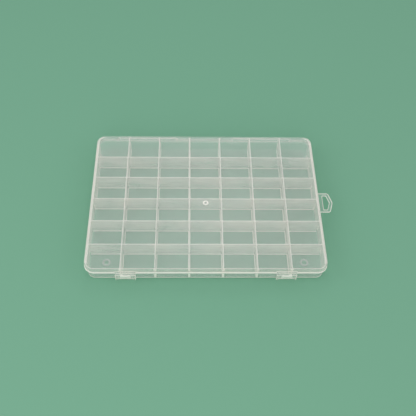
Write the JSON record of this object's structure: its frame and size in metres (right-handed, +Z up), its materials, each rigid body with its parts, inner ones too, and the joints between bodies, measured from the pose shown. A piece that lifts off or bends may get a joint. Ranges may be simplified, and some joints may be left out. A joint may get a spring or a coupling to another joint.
{
  "type": "compartment storage tray",
  "caption": "Shallow clear plastic storage tray with a fixed grid of cells, a lid hinged along the back, snap latches on the front and a hanging loop on one side.",
  "frame": {"origin": "middle of the flat underside of the tray, below the middle of the closed lid", "axes": "+X to the right along the length, towards the hanging loop; +Y to the back, where the lid is hinged; +Z up"},
  "size_m": [0.2994, 0.2077, 0.025],
  "materials": {
    "tray_plastic": "clear, slightly milky polypropylene, smooth with a soft shine",
    "lid_plastic": "clear, slightly milky polypropylene, smooth with a soft shine",
    "latch_plastic": "clear, slightly milky polypropylene, smooth with a soft shine"
  },
  "bodies": {
    "tray": {"tray_shell": "tray_plastic", "column_divider_1": "tray_plastic", "column_divider_2": "tray_plastic", "column_divider_3": "tray_plastic", "column_divider_4": "tray_plastic", "column_divider_5": "tray_plastic", "column_divider_6": "tray_plastic", "row_divider_1": "tray_plastic", "row_divider_2": "tray_plastic", "row_divider_3": "tray_plastic", "row_divider_4": "tray_plastic", "row_divider_5": "tray_plastic", "hang_tab": "tray_plastic", "left_hinge_bar": "tray_plastic", "right_hinge_bar": "tray_plastic"},
    "lid": {"lid_shell": "lid_plastic", "left_hinge_hook": "lid_plastic", "right_hinge_hook": "lid_plastic"},
    "left_latch": {"left_latch": "latch_plastic"},
    "right_latch": {"right_latch": "latch_plastic"}
  },
  "joints": [
    {"name": "lid_hinge", "type": "hinge", "parent": "tray", "child": "lid", "pos_m": [0, 0.1025, 0.0149], "axis": [-1, 0, 0], "range_deg": [0, 180]},
    {"name": "left_latch_hinge", "type": "hinge", "parent": "lid", "child": "left_latch", "pos_m": [-0.093, -0.09935, 0.0169], "axis": [-1, 0, 0], "range_deg": [0, 105]},
    {"name": "right_latch_hinge", "type": "hinge", "parent": "lid", "child": "right_latch", "pos_m": [0.093, -0.09935, 0.0169], "axis": [-1, 0, 0], "range_deg": [0, 105]}
  ]
}
